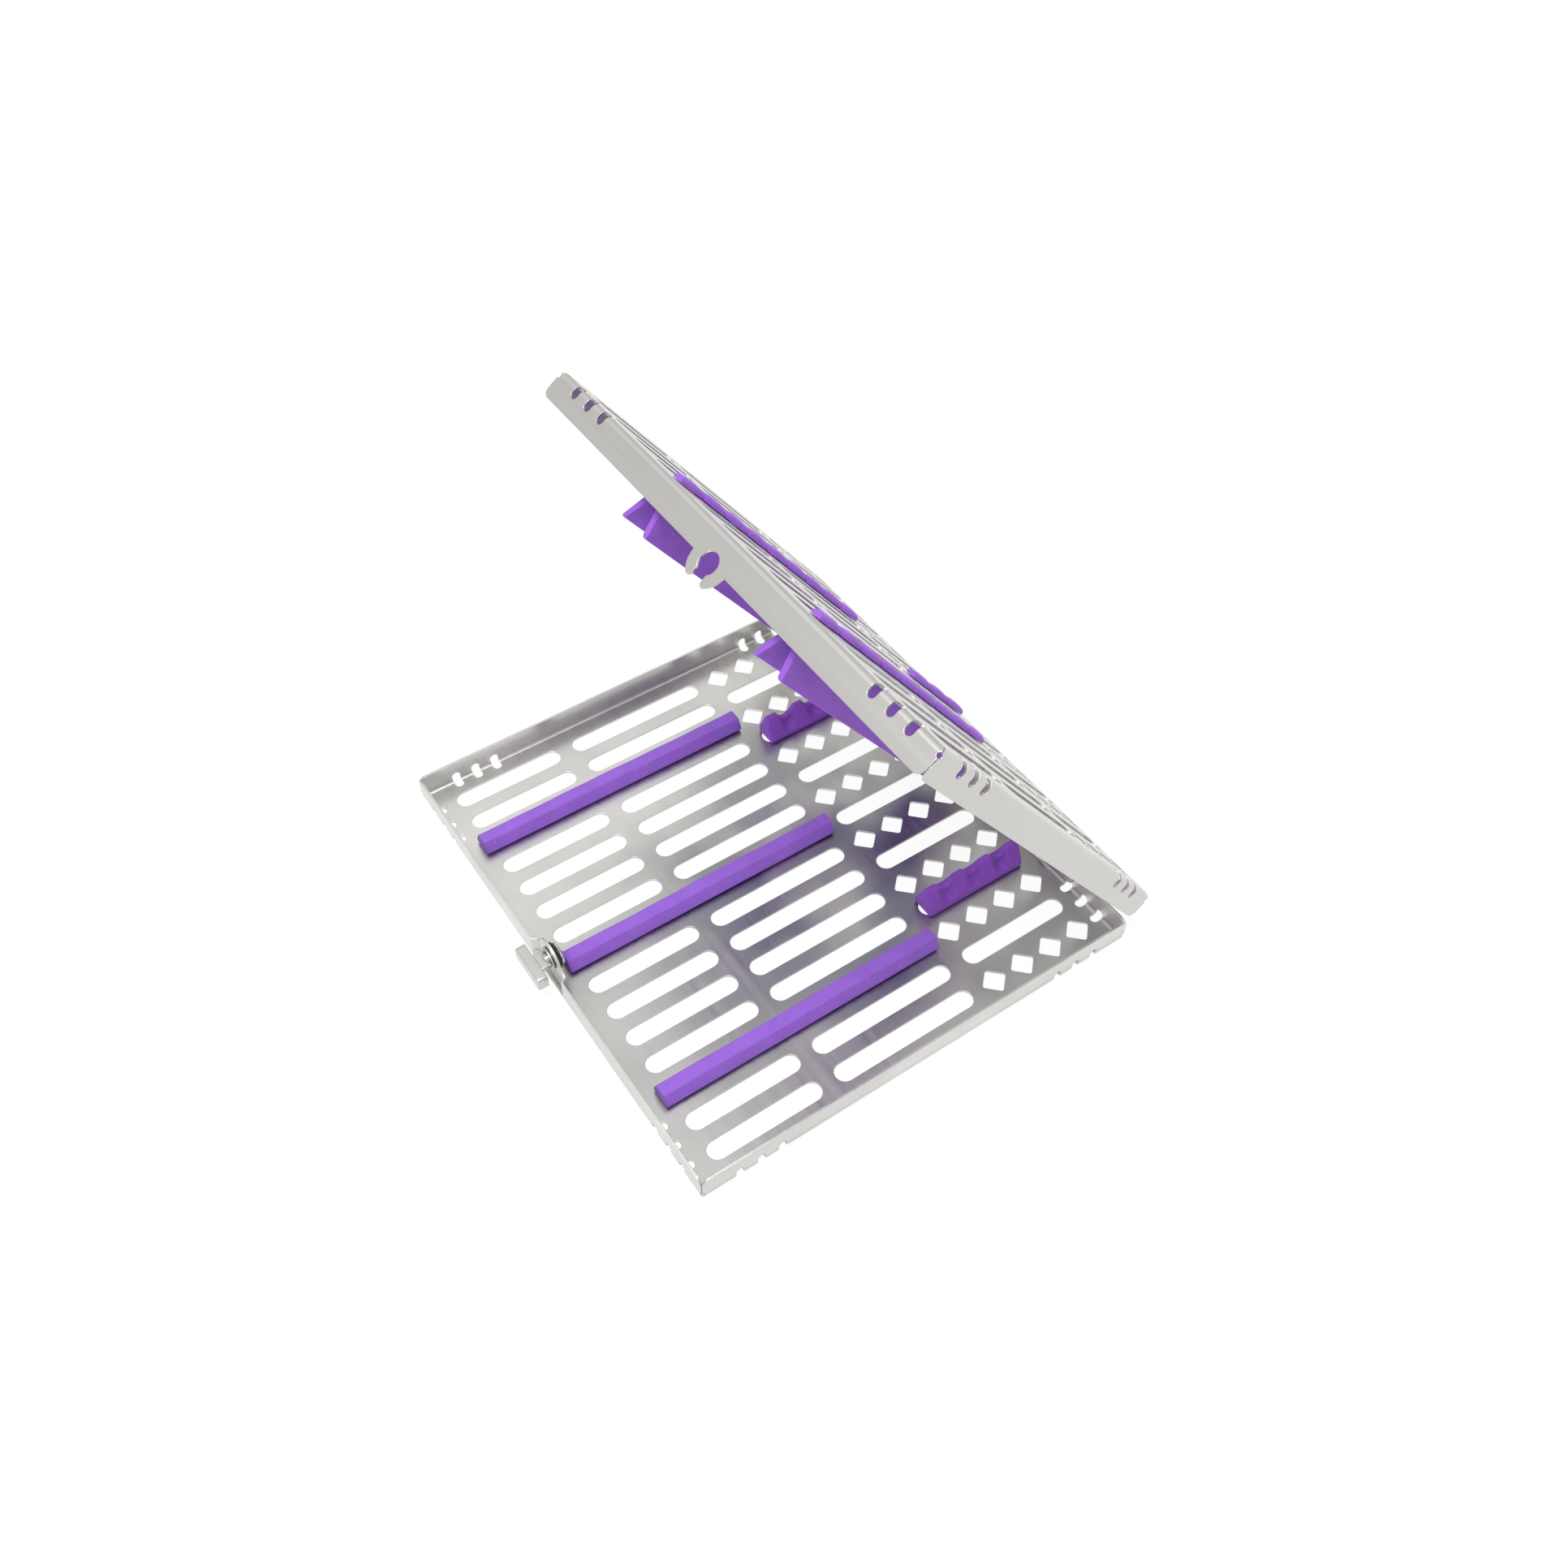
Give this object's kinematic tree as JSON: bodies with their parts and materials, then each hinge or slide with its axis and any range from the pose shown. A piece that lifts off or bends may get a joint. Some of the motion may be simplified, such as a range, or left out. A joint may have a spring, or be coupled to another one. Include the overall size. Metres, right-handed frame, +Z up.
{
  "type": "instrument tray",
  "caption": "Shallow perforated steel tray with a hinged perforated lid, silicone rails, notched rests and hold-down strips, and a quarter-turn latch on the front wall.",
  "frame": {"origin": "Middle of the lower pan's underside, on the surface the tray stands on.", "axes": "+X along the front wall, +Y from the latch at the front to the hinges at the back, +Z up, at right angles to the lower pan's floor."},
  "size_m": [0.201, 0.1922, 0.1597],
  "materials": {
    "brushed_steel": "finely brushed stainless sheet with brighter bent edges",
    "polished_steel": "smooth satin to polished stainless",
    "purple_silicone": "matte purple silicone with a powdery bloom",
    "black_rubber": "matte black"
  },
  "bodies": {
    "base": {"base_tray": "brushed_steel", "rail_left": "purple_silicone", "rail_centre": "purple_silicone", "rail_right": "purple_silicone", "notched_rest_left": "purple_silicone", "notched_rest_right": "purple_silicone", "latch_washer": "polished_steel", "latch_friction_disc": "black_rubber", "hinge_leaf_base_left": "polished_steel", "hinge_leaf_base_right": "polished_steel", "hinge_pin_left": "polished_steel", "hinge_pin_right": "polished_steel", "rivet_base_left_1": "polished_steel", "rivet_base_left_2": "polished_steel", "rivet_base_right_1": "polished_steel", "rivet_base_right_2": "polished_steel"},
    "lid": {"lid": "brushed_steel", "lid_strip_left": "purple_silicone", "lid_strip_right": "purple_silicone", "lid_strip_rear": "purple_silicone", "hinge_leaf_lid_left": "polished_steel", "hinge_leaf_lid_right": "polished_steel", "rivet_lid_left_1": "polished_steel", "rivet_lid_left_2": "polished_steel", "rivet_lid_right_1": "polished_steel", "rivet_lid_right_2": "polished_steel"},
    "latch": {"latch_knob": "polished_steel", "latch_cap": "polished_steel"}
  },
  "joints": [
    {"name": "lid_hinge", "type": "hinge", "parent": "base", "child": "lid", "pos_m": [0, 0.09026, 0.0105], "axis": [-1, 0, 0], "range_deg": [-53.6, 114.4]},
    {"name": "latch_turn", "type": "hinge", "parent": "base", "child": "latch", "pos_m": [0, -0.0915, 0.0107], "axis": [0, 1, 0], "range_deg": [0, 90]}
  ]
}
